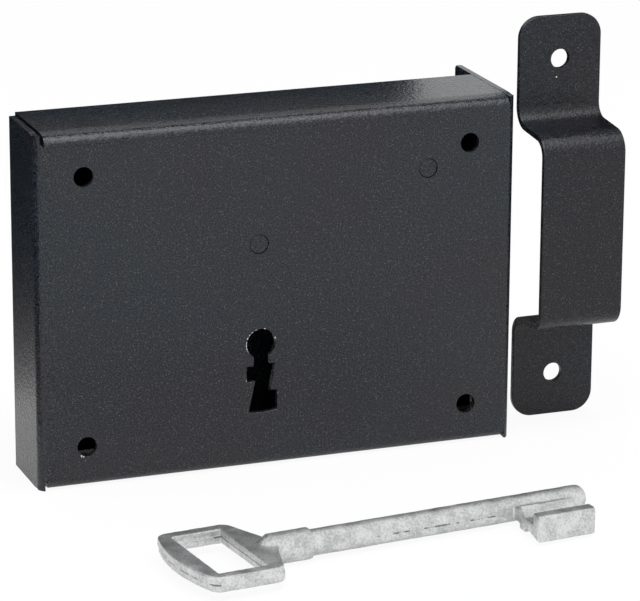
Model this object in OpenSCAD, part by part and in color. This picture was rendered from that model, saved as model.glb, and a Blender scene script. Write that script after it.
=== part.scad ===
// Rim box lock with its strap keep and cast bit key, millimetres.
// The origin is where the key's axis meets the outer face of the case.
// X runs towards the forend, Y runs into the lock and Z is up.

/* [Case] */
// Width of the case, from its closed side to the outer face of the forend
case_w = 125; // [120:0.5:140]
// Height of the case
case_h = 90; // [86:0.5:110]
// Thickness of the folded sheet
sheet_t = 1.5; // [1.2:0.1:1.8]
// Outer radius of the folds
fold_r = 2.4; // [2.1:0.1:3.5]
// Depth of the closed side, where the back plate seats
side_d = 22; // [21:0.5:26]
// How far the top and bottom flanges stand behind the closed side
flange_over = 3.5; // [3:0.1:6]
// How far the forend laps the door behind the flanges
lip_over = 11.5; // [5:0.5:20]
// Rounding of the lip's corners
lip_r = 1; // [0.5:0.1:4]
// Open corner between the closed side and the flanges
corner_gap = 1; // [0.5:0.1:3]
// Gap between the flanges and the forend
seam = 0.15; // [0.1:0.05:1]
// Gap round the back plate
plate_gap = 0.3; // [0.2:0.1:0.6]

/* [Key place] */
// Backset, from the outer face of the forend to the key's axis
backset = 67.5; // [66:0.5:75]
// Height of the key's axis above the bottom of the case
key_up = 32.3; // [28:0.1:36]

/* [Fixing holes] */
// Diameter of the fixing holes
fix_d = 5; // [4:0.1:6]
// Distance of the first fixing holes from the closed side
fix_side = 12.1; // [9:0.1:14]
// Distance of the lower fixing holes from the bottom
fix_up = 10.6; // [8:0.1:12]
// Fixing holes apart, across
fix_pitch_x = 100.5; // [98:0.5:103]
// Fixing holes apart, up
fix_pitch_z = 68.5; // [66:0.5:72]

/* [Keyhole] */
// Diameter of the keyhole's round
keyhole_d = 7.5; // [7:0.1:9]
// Reach of the keyhole's slot below the key's axis
slot_reach = 17.9; // [17:0.1:19]
// Slot's neck, left of the axis
neck_left = 1.9; // [1.6:0.1:2.2]
// Slot's neck, right of the axis
neck_right = 2.25; // [2:0.05:2.5]
// Reach of the upper lug to the left
lug_x = 3.75; // [3.2:0.05:4.2]
// Top of the upper lug below the axis
lug_top = 5.8; // [5.4:0.1:6.2]
// Underside of the upper lug below the axis
lug_low = 9.7; // [9:0.1:10.4]
// Waist of the slot, left of the axis
waist_x = 1.5; // [1.2:0.1:1.8]
// Foot of the slot, left of the axis
heel_x = 3.3; // [2.6:0.1:3.6]
// Shoulder of the slot, right of the axis
shoulder_x = 3.7; // [3.2:0.1:4]
// Foot of the slot, right of the axis
toe_x = 4.15; // [3.8:0.05:4.4]
// Top of the right foot below the axis
toe_top = 12.4; // [11.6:0.1:13]

/* [Posts] */
// Diameter of the posts' riveted ends
rivet_d = 5; // [4:0.1:5.4]
// Diameter of the posts' bearings
post_d = 6; // [5.6:0.1:6.4]
// Diameter of the guide post's shoulder, which the bolt slides on
shoulder_d = 10; // [8:0.5:11]
// Guide post's offset from the key's axis
guide_x = -0.6; // [-1.5:0.1:1.5]
// Guide post's height above the key's axis, which is the bolt's centre line
guide_z = 25.75; // [25.2:0.05:27]
// Pivot post's distance from the key's axis
pivot_x = 44; // [43:0.5:46]
// Pivot post's height above the key's axis
pivot_z = 41.2; // [41:0.1:43]
// Running clearance of sliding and turning fits
run_gap = 0.08; // [0.04:0.01:0.1]
// Gap between moving faces
face_gap = 0.2; // [0.15:0.05:0.3]
// Diameter of the back plate's screws
screw_d = 4; // [3.5:0.1:4.2]
// Length of the screws under the head
screw_l = 8; // [6:0.5:10]
// Diameter of the screw heads
screw_head_d = 7.6; // [7:0.1:9]
// Height of the screw heads
screw_head_h = 1.7; // [1.4:0.1:1.9]

/* [Bolt] */
// Height of the bolt
bolt_h = 24; // [20:0.5:24]
// Thickness of the bolt's head
head_t = 10; // [8:0.5:11]
// Thickness of the bolt's tail
tail_t = 4; // [3:0.5:5]
// Travel of the bolt for one turn of the key
bolt_throw = 18; // [12:0.5:18]
// Length of the head
head_l = 30.5; // [29:0.5:31]
// Lap of the head over the tail
lap_l = 14; // [12:0.5:16]
// Length of the tail left of the guide slot
tail_end = 9; // [6:0.5:14]
// Distance of the bolt's back face from the case's outer face
bolt_back = 16; // [15:0.5:16.5]
// How far the drawn bolt sits inside the forend's outer face
bolt_inset = 0.3; // [0:0.1:0.5]
// Width of the gap where the key's bit works the tail
talon_w = 8; // [7.4:0.1:9]
// Width of the teeth beside that gap
tooth_w = 6; // [4:0.5:8]
// Reach of the teeth below the bolt
tooth_h = 2.3; // [1.8:0.1:2.8]
// Diameter of the rivets that join head and tail
bolt_rivet_d = 4; // [3:0.5:5]
// Distance of those rivets apart
bolt_rivet_pitch = 13; // [11:0.5:15]
// Chamfer on the head's outer end
head_chamfer = 0.8; // [0.4:0.1:1.2]

/* [Tumbler] */
// Thickness of the tumbler
tumbler_t = 2.5; // [2:0.1:3]
// Radius of the eye round the pivot, and of the arm's left end
eye_r = 5.5; // [5.2:0.1:5.6]
// Half height of the arm
arm_half = 5.2; // [4.8:0.1:5.2]
// Height of the arm's left end above the key's axis
arm_z = 38.5; // [38:0.1:39]
// Radius of the belly round the guide post
belly_r = 14.2; // [13.8:0.1:14.4]
// Stump's distance from the key's axis
stump_x = 12; // [11:0.5:14]
// Diameter of the stump
stump_d = 4; // [3:0.5:4.5]
// Depth of the notches that the stump falls in
notch_depth = 1.8; // [1.4:0.1:2.2]
// Wire of the tumbler's spring
wire_d = 0.8; // [0.7:0.1:0.9]
// Turns of the spring's coil
coil_turns = 1.5; // [1.5:1:2.5]
// Place where the spring's long leg bears on the arm
leg_x = 17; // [10:1:24]

/* [Keep] */
// Width of the strap
keep_w = 22.5; // [18:0.5:28]
// Height of the keep
keep_h = 106.4; // [96:0.1:120]
// Thickness of the strap
keep_t = 1.6; // [1.5:0.1:2.5]
// Clear depth behind the bridge
keep_depth = 16.8; // [15:0.1:20]
// Height of the bridge, outside
bridge_h = 50.7; // [46:0.1:56]
// How much wider the bridge stands at its tabs, on each side
bridge_flare = 1.3; // [0:0.1:2]
// Inner radius of the strap's bends
keep_bend_r = 3.4; // [1.5:0.1:4]
// Rounding of the tabs' corners
tab_r = 5.5; // [2:0.5:7]
// Fixing holes of the keep apart
keep_pitch = 83.8; // [80:0.2:90]
// Diameter of the keep's fixing holes
keep_hole_d = 5; // [4:0.1:6]
// Distance between the case and the keep
keep_gap = 6.8; // [2:0.1:10]
// Distance of the keep's tabs behind the face of the case
keep_set = 14.2; // [10:0.1:20]

/* [Key] */
// Length of the key
key_l = 109.2; // [104:0.1:118]
// Diameter of the shank
shank_d = 6.3; // [6:0.1:6.6]
// Diameter of the collar
collar_d = 7.6; // [7:0.1:9]
// Length of the collar, with its nose
collar_l = 14; // [11:0.5:16]
// Length of the bit along the key
bit_l = 14; // [12:0.5:15]
// Length of the pin beyond the bit
pin_l = 7.5; // [6:0.1:9]
// Rounding of the pin's end
pin_r = 2.2; // [1.5:0.1:2.6]
// Play of the bit in the keyhole
bit_play = 0.35; // [0.25:0.05:0.5]
// Foot of the bit, left of the axis
bit_heel = 2; // [1.8:0.1:2.2]
// Length of the bow along the key
bow_l = 20.5; // [18:0.5:24]
// Width of the bow
bow_w = 32; // [28:0.5:36]
// Thickness of the bow
bow_t = 3.7; // [3:0.1:5]
// Bulge of the bow's far edge
bow_bulge = 2.8; // [1.5:0.1:4]
// Rounding of the bow's corners
bow_r = 2; // [1:0.1:3]
// Length of the bow's neck
neck_l = 4.6; // [4:0.1:6]
// Width of the rim at the bow's far end
rim_far = 5.7; // [5:0.1:7]
// Width of the rim next to the collar
rim_near = 3.1; // [2.5:0.1:4]
// Width of the rims at the sides
rim_side = 3.6; // [3:0.1:5]
// Distance from the face of the case to the collar's end
key_out = 63.8; // [50:0.1:80]
// Distance of the collar's end from the closed side
key_along = 47.9; // [36:0.1:60]
// Turn of the key on the floor
key_turn = 6.8; // [-20:0.1:20]

/* [Hidden] */
$fn = 64;
black = "#26282b";
steel = "#8d9196";
zinc = "#b4b8ba";
// Overlap of cutting shapes past the faces that they cut
eps = 1;
// Edges of the case
x_forend = backset;
x_side = backset - case_w;
z_low = -key_up;
z_high = case_h - key_up;
flange_d = side_d + flange_over;
forend_d = flange_d + lip_over;
// Inner faces of the case
y_in = sheet_t;
y_plate = side_d;
// Bolt
bolt_low = guide_z - bolt_h / 2;
bolt_high = guide_z + bolt_h / 2;
head_front = bolt_back - head_t;
tail_front = bolt_back - tail_t;
head_right = x_forend - bolt_inset;
head_left = head_right - head_l;
tail_right = head_left + lap_l;
slot_r = post_d / 2 + run_gap;
slot_left = guide_x - bolt_throw;
tail_left = slot_left - slot_r - tail_end;
rivet_x = head_left + lap_l / 2;
// Tumbler
tumbler_front = bolt_back + face_gap;
tumbler_back = tumbler_front + tumbler_t;
belly_low = guide_z - belly_r;
bit_r = slot_reach - bit_play;
arm_reach = norm([pivot_x - guide_x, pivot_z - guide_z]);
post_angle = atan2(guide_z - pivot_z, guide_x - pivot_x);
// Angle at which the bit holds the belly up
lift = asin((bit_r - belly_low) / (pivot_x - guide_x));
stump_r = stump_d / 2;
stump_z = bolt_high - notch_depth + stump_r + face_gap;
stump_arm = norm([pivot_x - stump_x, pivot_z - stump_z]);
stump_angle = atan2(stump_z - pivot_z, stump_x - pivot_x);
stump_rise = stump_arm * (sin(stump_angle - lift) - sin(stump_angle));
ramp_slope = stump_rise / bolt_throw;
ramp_l = notch_depth / ramp_slope;
// Spring
wire_r = wire_d / 2;
coil_r = post_d / 2 + 0.4 + wire_r;
coil_front = tumbler_back + wire_r + face_gap;
coil_back = y_plate - wire_r - face_gap;
coil_steps = 16;
coil_count = coil_turns * coil_steps;
leg_high = z_high - sheet_t - face_gap;
arm_slope = (pivot_z - arm_z) / (pivot_x - guide_x);
arm_high = arm_z + (leg_x - guide_x) * arm_slope + arm_half / cos(atan(arm_slope));
leg_end_z = arm_high + face_gap + wire_r;
// Points of the spring's wire: short leg, coil, long leg and the hook over the arm
spring_path = concat(
    [[pivot_x + coil_r, coil_back, leg_high]],
    [for (i = [0 : coil_count])
        let (a = 360 * i / coil_steps)
        [
            pivot_x + coil_r * cos(a),
            coil_back + (coil_front - coil_back) * i / coil_count,
            pivot_z - coil_r * sin(a)
        ]],
    [[leg_x + 2, coil_front, leg_end_z], [leg_x, (tumbler_front + tumbler_back) / 2, leg_end_z]]
);
spring_gap = min([for (i = [0 : coil_count - coil_steps], j = [i + coil_steps / 2 : coil_count])
    norm(spring_path[i] - spring_path[j])]) - wire_d;
echo(spring_gap = spring_gap);
// Key, measured along its axis from the far end of the bow
shank_r = shank_d / 2;
collar_r = collar_d / 2;
// Half width of the bow's flat where it meets the collar
neck_half = collar_r - 0.5;
collar_start = bow_l + 1.5;
collar_end = collar_start + collar_l;
bit_end = key_l - pin_l;
lug_drop = lug_x - bit_play;
// The ends of the collar and of the bit's lug rest on the floor
key_tilt = atan((collar_r - lug_drop) / (bit_end - collar_end));

// Rectangle whose corners on y = 0 are round
module folded(w, d, r) {
    translate([r, 0]) square([w - 2 * r, d]);
    translate([0, r]) square([w, d - r]);
    for (x = [r, w - r]) translate([x, r]) circle(r);
}

// Quarter ring that fills the sheet's fold, in the corner towards -x and -y
module fold_ring(r_in, r_out) {
    intersection() {
        difference() {
            circle(r_out);
            circle(r_in);
        }
        translate([-r_out, -r_out]) square(r_out);
    }
}

// Section of the case from above: closed side, face and forend
module channel_section() {
    difference() {
        folded(case_w, forend_d, fold_r);
        translate([sheet_t, sheet_t])
            folded(case_w - 2 * sheet_t, forend_d, fold_r - sheet_t);
        translate([-eps, side_d]) square([case_w / 2, forend_d]);
    }
}

// Section of a flange with its fold, y inwards and z towards the face's middle
module flange_section() {
    translate([fold_r, fold_r]) fold_ring(fold_r - sheet_t, fold_r);
    translate([fold_r, 0]) square([flange_d - fold_r, sheet_t]);
}

// Cylinder along Y from y_from to y_to
module post_y(x, z, y_from, y_to, d) {
    translate([x, y_to, z]) rotate([90, 0, 0]) cylinder(d = d, h = y_to - y_from);
}

// Outline in x and z extruded along Y
module slab_y(y_from, y_to) {
    translate([0, y_to, 0]) rotate([90, 0, 0]) linear_extrude(y_to - y_from) children();
}

// Warded slot below the key's axis, all sides moved in by play
function slot_points(play, heel) = [
    [-neck_left + play, 0],
    [-neck_left + play, -lug_top - play],
    [-lug_x + play, -lug_top - play],
    [-lug_x + play, -lug_low + play],
    [-waist_x + play, -lug_low + play],
    [-heel + play, -slot_reach],
    [toe_x - play, -slot_reach],
    [toe_x - play, -toe_top - play],
    [neck_right - play, -toe_top - play],
    [shoulder_x - play, -lug_top + 0.4 - play],
    [neck_right - play, -lug_top + 0.4 - play],
    [neck_right - play, 0]
];

module slot_outline(play, heel) {
    intersection() {
        polygon(slot_points(play, heel));
        circle(slot_reach - play);
    }
}

module keyhole_outline() {
    circle(d = keyhole_d);
    slot_outline(0, heel_x);
}

// Holes that the case and the back plate share
module fixing_holes(y_from, y_to) {
    for (x = [0, fix_pitch_x], z = [0, fix_pitch_z])
        post_y(x_side + fix_side + x, z_low + fix_up + z, y_from, y_to, fix_d);
}

module post_places() {
    translate([guide_x, 0, guide_z]) children();
    translate([pivot_x, 0, pivot_z]) children();
}

module lock_case() {
    flange_left = x_side + sheet_t + corner_gap;
    flange_l = case_w - 2 * sheet_t - corner_gap - seam;
    color(black)
    difference() {
        union() {
            difference() {
                translate([x_side, 0, z_low]) linear_extrude(case_h) channel_section();
                // Corners opened so that the flanges can fold
                for (z = [z_low - eps, z_high - fold_r])
                    translate([x_side + sheet_t, -eps, z])
                        cube([case_w - 2 * sheet_t, fold_r + 2 * eps, fold_r + eps]);
            }
            for (side = [0, 1])
                translate([flange_left, 0, side == 0 ? z_low : z_high])
                    mirror([0, 0, side])
                    rotate([90, 0, 90]) linear_extrude(flange_l) flange_section();
        }
        fixing_holes(-eps, y_in + eps);
        slab_y(-eps, y_in + eps) keyhole_outline();
        post_places() post_y(0, 0, -eps, y_in + eps, rivet_d);
        // Mouth for the bolt
        translate([x_forend - 2 * sheet_t, head_front - face_gap, bolt_low - face_gap])
            cube([4 * sheet_t, head_t + 2 * face_gap, bolt_h + 2 * face_gap]);
        // Rounded corners of the lip
        for (side = [0, 1])
            translate([x_forend - 2 * sheet_t, forend_d - lip_r, side == 0 ? z_low : z_high])
                mirror([0, 0, side])
                difference() {
                    translate([0, 0, -eps]) cube([4 * sheet_t, lip_r + eps, lip_r + eps]);
                    translate([-eps, 0, lip_r]) rotate([0, 90, 0])
                        cylinder(r = lip_r, h = 4 * sheet_t + 2 * eps);
                }
    }
}

module back_plate() {
    color(black)
    difference() {
        translate([x_side + sheet_t / 3, y_plate, z_low + sheet_t + plate_gap])
            cube([case_w - sheet_t * 4 / 3 - plate_gap, sheet_t, case_h - 2 * sheet_t - 2 * plate_gap]);
        fixing_holes(y_plate - eps, y_plate + sheet_t + eps);
        // The key is also used from the back, so its slot is the other way round
        slab_y(y_plate - eps, y_plate + sheet_t + eps) mirror([1, 0]) keyhole_outline();
        post_places() post_y(0, 0, y_plate - eps, y_plate + sheet_t + eps, screw_d + 0.4);
    }
}

// Bored end of a post, which takes a screw
module screw_bore() {
    post_y(0, 0, y_plate - screw_l - 1, y_plate + eps, screw_d + 0.1);
}

module guide_post() {
    color(steel)
    translate([guide_x, 0, guide_z])
    difference() {
        union() {
            post_y(0, 0, 0, y_in, rivet_d);
            post_y(0, 0, y_in, tail_front - face_gap, shoulder_d);
            post_y(0, 0, y_in, y_plate, post_d);
        }
        screw_bore();
    }
}

module pivot_post() {
    color(steel)
    translate([pivot_x, 0, pivot_z])
    difference() {
        union() {
            post_y(0, 0, 0, y_in, rivet_d);
            post_y(0, 0, y_in, y_plate, post_d);
        }
        screw_bore();
    }
}

// Sleeve behind the tumbler, which holds it to the bolt
module guide_sleeve() {
    color(steel)
    difference() {
        post_y(guide_x, guide_z, tumbler_back + face_gap, y_plate, shoulder_d);
        post_y(guide_x, guide_z, tumbler_back, y_plate + eps, post_d + 0.1);
    }
}

module cover_screw() {
    head_y = y_plate + sheet_t;
    difference() {
        union() {
            post_y(0, 0, head_y - screw_l, head_y, screw_d);
            post_y(0, 0, head_y, head_y + screw_head_h, screw_head_d);
        }
        // Crossed slots
        for (a = [45, 135])
            translate([0, head_y + screw_head_h, 0]) rotate([0, a, 0])
                cube([screw_head_d * 0.6, screw_head_h, 0.9], center = true);
    }
}

module cover_screws() {
    color(steel) post_places() cover_screw();
}

module bolt_rivet_places() {
    for (s = [-1, 1]) translate([rivet_x, 0, guide_z + s * bolt_rivet_pitch / 2]) children();
}

module bolt_head() {
    c = head_chamfer;
    color(steel)
    difference() {
        translate([head_left, head_front, bolt_low]) cube([head_l, head_t, bolt_h]);
        // Step that the tail lies in
        translate([head_left - eps, tail_front, bolt_low - eps])
            cube([lap_l + eps, tail_t + eps, bolt_h + 2 * eps]);
        bolt_rivet_places() post_y(0, 0, head_front - eps, bolt_back + eps, bolt_rivet_d);
        // Chamfers round the outer end
        for (y = [head_front, bolt_back])
            translate([head_right, y, bolt_low - eps]) rotate([0, 0, 45])
                translate([-c, -c, 0]) cube([2 * c, 2 * c, bolt_h + 2 * eps]);
        for (z = [bolt_low, bolt_high])
            translate([head_right, head_front - eps, z]) rotate([0, 45, 0])
                translate([-c, 0, -c]) cube([2 * c, head_t + 2 * eps, 2 * c]);
    }
}

// Outline of the tail with its guide slot, notches and teeth
module tail_outline() {
    talon_x = -bolt_throw / 2;
    floor_z = bolt_high - notch_depth;
    wall = stump_r + face_gap;
    difference() {
        union() {
            translate([tail_left, bolt_low]) square([tail_right - tail_left, bolt_h]);
            for (s = [-1, 1])
                translate([talon_x + s * (talon_w + tooth_w) / 2 - tooth_w / 2, bolt_low - tooth_h])
                    square([tooth_w, tooth_h + eps]);
        }
        // Guide slot
        translate([slot_left, guide_z]) circle(slot_r);
        translate([guide_x, guide_z]) circle(slot_r);
        translate([slot_left, guide_z - slot_r]) square([bolt_throw, 2 * slot_r]);
        // Gap for the bit between the teeth
        translate([talon_x - talon_w / 2, bolt_low - tooth_h - eps]) square([talon_w, tooth_h + eps]);
        // Notch of the drawn bolt, with the slope that the stump climbs
        polygon([
            [stump_x + wall, bolt_high + eps],
            [stump_x + wall, floor_z],
            [stump_x - face_gap, floor_z],
            [stump_x - face_gap - ramp_l, bolt_high],
            [stump_x - face_gap - ramp_l, bolt_high + eps]
        ]);
        // Square notch of the thrown bolt
        translate([stump_x - bolt_throw - wall, floor_z]) square([2 * wall, notch_depth + eps]);
    }
}

module bolt_tail() {
    color(steel)
    difference() {
        slab_y(tail_front, bolt_back) tail_outline();
        bolt_rivet_places() post_y(0, 0, tail_front - eps, bolt_back + eps, bolt_rivet_d);
    }
}

module bolt_rivets() {
    color(steel) bolt_rivet_places() post_y(0, 0, head_front, bolt_back, bolt_rivet_d);
}

module tumbler_outline() {
    arm = [pivot_x - guide_x, pivot_z - arm_z];
    difference() {
        union() {
            translate([pivot_x, pivot_z]) circle(eye_r);
            translate([guide_x, guide_z]) circle(belly_r);
            translate([guide_x, arm_z]) {
                circle(eye_r);
                rotate(atan2(arm[1], arm[0])) translate([0, -arm_half])
                    square([norm(arm), 2 * arm_half]);
            }
        }
        translate([pivot_x, pivot_z]) circle(post_d / 2 + run_gap);
        translate([stump_x, stump_z]) circle(stump_r);
        tumbler_window();
    }
}

// Points on a circle of radius r round a centre, from one angle to another
function arc(centre, r, from, to, steps) =
    [for (i = [0 : steps])
        let (a = from + (to - from) * i / steps)
        centre + r * [cos(a), sin(a)]];

// Curved window that passes the guide post while the tumbler swings
module tumbler_window() {
    r = post_d / 2 + 2 * face_gap;
    from = post_angle - 0.3;
    to = post_angle + lift + 0.7;
    pivot = [pivot_x, pivot_z];
    polygon(concat(
        arc(pivot, arm_reach + r, from, to, 8),
        arc(pivot + arm_reach * [cos(to), sin(to)], r, to + 15, to + 165, 10),
        arc(pivot, arm_reach - r, to, from, 8),
        arc(pivot + arm_reach * [cos(from), sin(from)], r, from + 195, from + 345, 10)
    ));
}

module tumbler() {
    color(steel) slab_y(tumbler_front, tumbler_back) tumbler_outline();
}

module tumbler_stump() {
    color(steel) post_y(stump_x, stump_z, tail_front, tumbler_back, stump_d);
}

function unit(v) = v / norm(v);

// Ring of the wire at point i of a path, square to the path
function wire_ring(path, i, r, sides) =
    let (
        n = len(path),
        t = unit(path[min(i + 1, n - 1)] - path[max(i - 1, 0)]),
        b = unit(cross(t, [0, 1, 0])),
        c = cross(b, t)
    )
    [for (k = [0 : sides - 1])
        let (a = 360 * k / sides)
        path[i] + r * (cos(a) * b + sin(a) * c)];

module wire(path, r, sides) {
    n = len(path);
    points = [for (i = [0 : n - 1]) each wire_ring(path, i, r, sides)];
    skin = [for (i = [0 : n - 2], k = [0 : sides - 1])
        let (k2 = (k + 1) % sides, a = i * sides)
        each [[a + k, a + k2, a + sides + k2], [a + k, a + sides + k2, a + sides + k]]];
    start_cap = [for (k = [1 : sides - 2]) [0, k + 1, k]];
    last = (n - 1) * sides;
    end_cap = [for (k = [1 : sides - 2]) [last, last + k, last + k + 1]];
    polyhedron(concat(points), concat(skin, start_cap, end_cap));
}

module tumbler_spring() {
    color(steel) wire(spring_path, wire_r, 8);
}

// Half of the keep's section: x is the distance off the wall, y is measured from the end
module keep_half_section() {
    r_out = keep_bend_r + keep_t;
    rise = keep_depth + keep_t;
    web_y = (keep_h - bridge_h) / 2;
    slope = bridge_flare / keep_depth;
    // Straight lengths of the tab, and of the bridge from there on
    tab_l = floor(web_y - keep_bend_r - slope * rise - 0.5);
    bend_end = ceil(web_y + r_out + 0.5);
    square([keep_t, tab_l]);
    translate([keep_depth, bend_end]) square([keep_t, keep_h / 2 - bend_end]);
    intersection() {
        translate([-eps, tab_l]) square([rise + 2 * eps, bend_end - tab_l]);
        // Both bends and the web, which a shear leans
        multmatrix([[1, 0, 0, 0], [slope, 1, 0, -slope * rise], [0, 0, 1, 0], [0, 0, 0, 1]]) {
            translate([0, tab_l - eps]) square([keep_t, web_y - keep_bend_r - tab_l + eps]);
            translate([keep_t + keep_bend_r, web_y - keep_bend_r]) mirror([0, 1])
                fold_ring(keep_bend_r, r_out);
            translate([r_out, web_y]) square([rise - 2 * r_out, keep_t]);
            translate([rise - r_out, web_y + r_out]) mirror([1, 0]) fold_ring(keep_bend_r, r_out);
            translate([keep_depth, web_y + r_out]) square([keep_t, bend_end + 2 * eps - web_y - r_out]);
        }
    }
}

module keep() {
    keep_x = x_forend + keep_gap;
    wall_y = keep_set + keep_t;
    color(black)
    translate([keep_x, wall_y, z_low])
    difference() {
        intersection() {
            // Bent strap
            mirror([0, 1, 0]) rotate([90, 0, 90]) linear_extrude(keep_w) {
                keep_half_section();
                translate([0, keep_h]) mirror([0, 1]) keep_half_section();
            }
            // Round corners of the tabs
            translate([0, eps, 0]) rotate([90, 0, 0]) linear_extrude(keep_depth + keep_t + 2 * eps) {
                translate([tab_r, 0]) square([keep_w - 2 * tab_r, keep_h]);
                translate([0, tab_r]) square([keep_w, keep_h - 2 * tab_r]);
                for (x = [tab_r, keep_w - tab_r], z = [tab_r, keep_h - tab_r])
                    translate([x, z]) circle(tab_r);
            }
        }
        for (s = [-1, 1])
            post_y(keep_w / 2, keep_h / 2 + s * keep_pitch / 2, -keep_t - eps, eps, keep_hole_d);
    }
}

// Bow seen from above, along x from its far end
module bow_outline() {
    bulge_r = (pow(bow_w / 2, 2) + pow(bow_bulge, 2)) / (2 * bow_bulge);
    // Straight flanks run from the round corners to the collar
    corner = [bow_l - bow_r, bow_w / 2 - bow_r];
    neck = [bow_l + neck_l, neck_half];
    reach = neck - corner;
    a = atan2(reach[1], reach[0]) + acos(bow_r / norm(reach));
    touch = corner + bow_r * [cos(a), sin(a)];
    difference() {
        union() {
            intersection() {
                union() {
                    translate([0, -bow_w / 2 + bow_r]) square([bow_l - bow_r, bow_w - 2 * bow_r]);
                    translate([bow_bulge + bow_r, -bow_w / 2])
                        square([bow_l - bow_bulge - 2 * bow_r, bow_w]);
                    for (x = [bow_bulge + bow_r, bow_l - bow_r], s = [-1, 1])
                        translate([x, s * corner[1]]) circle(bow_r);
                }
                translate([bulge_r, 0]) circle(bulge_r, $fn = 128);
            }
            polygon([
                [corner[0], -corner[1]],
                [touch[0], -touch[1]],
                [neck[0], -neck[1]],
                [neck[0] + neck_half, 0],
                neck,
                touch,
                corner
            ]);
        }
        translate([rim_far, -bow_w / 2 + rim_side])
            square([bow_l - rim_far - rim_near, bow_w - 2 * rim_side]);
    }
}

// Half outline of the turned parts, along x with the radius as y
module shank_outline() {
    // Collar with a round nose and a chamfered end
    intersection() {
        union() {
            translate([collar_start + collar_r, 0]) square([collar_l - collar_r, collar_r]);
            translate([collar_start + collar_r, 0]) circle(collar_r);
        }
        translate([collar_start, 0]) square([collar_l, collar_r]);
    }
    polygon([
        [collar_end, 0],
        [collar_end, collar_r],
        [collar_end + collar_r - shank_r, shank_r],
        [collar_end + collar_r - shank_r, 0]
    ]);
    translate([collar_start + collar_r, 0]) square([key_l - pin_r - collar_start - collar_r, shank_r]);
    // Round end of the pin
    translate([key_l - pin_r, 0]) square([pin_r, shank_r - pin_r]);
    intersection() {
        translate([key_l - pin_r, shank_r - pin_r]) circle(pin_r);
        translate([key_l - pin_r, 0]) square([pin_r, shank_r]);
    }
}

// Key along x from the far end of its bow, bit towards -y, axis on z = 0
module key_body() {
    translate([0, 0, -bow_t / 2]) linear_extrude(bow_t) bow_outline();
    rotate([0, 90, 0]) rotate([0, 0, 90]) rotate_extrude() rotate(90) mirror([0, 1]) shank_outline();
    translate([bit_end, 0, 0]) rotate([0, -90, 0])
        linear_extrude(bit_l) slot_outline(bit_play, bit_heel);
}

module key() {
    color(zinc)
    translate([x_side + key_along, -key_out, z_low + collar_r * cos(key_tilt)])
        rotate([0, 0, key_turn]) rotate([0, key_tilt, 0]) translate([-collar_end, 0, 0])
        key_body();
}

lock_case();
back_plate();
guide_post();
pivot_post();
guide_sleeve();
cover_screws();
bolt_head();
bolt_tail();
bolt_rivets();
tumbler();
tumbler_stump();
tumbler_spring();
keep();
key();
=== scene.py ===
# Rim box lock with its strap keep and its key, dressed for a photograph.
import math

import bmesh
import bpy
from mathutils import Matrix, Vector, noise


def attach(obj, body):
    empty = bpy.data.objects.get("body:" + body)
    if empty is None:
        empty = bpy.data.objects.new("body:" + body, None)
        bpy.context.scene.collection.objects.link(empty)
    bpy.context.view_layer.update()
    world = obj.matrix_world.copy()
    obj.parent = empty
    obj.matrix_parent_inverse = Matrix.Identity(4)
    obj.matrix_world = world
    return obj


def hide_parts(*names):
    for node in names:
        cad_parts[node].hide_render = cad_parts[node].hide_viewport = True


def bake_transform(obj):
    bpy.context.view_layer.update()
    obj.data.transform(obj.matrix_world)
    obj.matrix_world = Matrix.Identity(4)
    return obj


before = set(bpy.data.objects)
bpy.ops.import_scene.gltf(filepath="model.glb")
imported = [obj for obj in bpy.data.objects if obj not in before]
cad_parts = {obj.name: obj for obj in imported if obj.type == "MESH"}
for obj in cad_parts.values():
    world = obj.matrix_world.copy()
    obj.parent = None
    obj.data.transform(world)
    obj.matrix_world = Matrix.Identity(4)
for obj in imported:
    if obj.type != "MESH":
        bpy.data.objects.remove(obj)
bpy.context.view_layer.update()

# Camera
# It stands to the left of the lock and a little above it, far off with a long lens,
# so that the face, the closed side and the top flange all show, as in the photograph.
CAMERA_AT = (-0.290274, -0.819194, 0.275646)
LOOK_TURN = math.radians(20.4630)
LOOK_DOWN = math.radians(16.9188)
LOOK_ROLL = math.radians(0.30266)
camera_data = bpy.data.cameras.new("camera")
camera_data.sensor_width = 36.0
camera_data.lens = 206.78
camera_data.clip_end = 20.0
camera = bpy.data.objects.new("camera", camera_data)
bpy.context.scene.collection.objects.link(camera)
camera.matrix_world = (
    Matrix.Translation(CAMERA_AT)
    @ Matrix.Rotation(-LOOK_TURN, 4, "Z")
    @ Matrix.Rotation(math.radians(90) - LOOK_DOWN, 4, "X")
    @ Matrix.Rotation(LOOK_ROLL, 4, "Z")
)
bpy.context.scene.camera = camera

# Lock case
# The case is one steel sheet, cut with its keyhole and fixing holes and folded into a tray.
# It is sprayed with black powder and baked, and the coat rounds every cut edge a little.
MM = 0.001
FLOOR_Z = -0.0323
CASE_TOP = 57.7 * MM
CASE_LEFT = -57.5 * MM
SHARP_ANGLE = math.radians(32)
FLAT_ANGLE = math.radians(0.4)
WELD_REACH = 0.002 * MM


def sharp_edges(shape, where=None):
    """Edges where two faces meet at a clear angle, all of them or those that where() picks."""
    found = []
    for edge in shape.edges:
        if edge.is_manifold and edge.calc_face_angle(0.0) > SHARP_ANGLE:
            if where is None or where((edge.verts[0].co + edge.verts[1].co) / 2):
                found.append(edge)
    return found


def roll_edges(shape, edges, width, segments):
    bmesh.ops.bevel(
        shape,
        geom=edges,
        offset=width,
        offset_type="OFFSET",
        segments=segments,
        profile=0.5,
        affect="EDGES",
        clamp_overlap=True,
        material=-1,
    )


def node_copy(node):
    """Copy of a CAD node with its triangles joined up into flats."""
    shape = bmesh.new()
    shape.from_mesh(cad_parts[node].data)
    bmesh.ops.remove_doubles(shape, verts=shape.verts, dist=WELD_REACH)
    bmesh.ops.dissolve_limit(
        shape, angle_limit=FLAT_ANGLE, verts=shape.verts, edges=shape.edges
    )
    return shape


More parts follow.
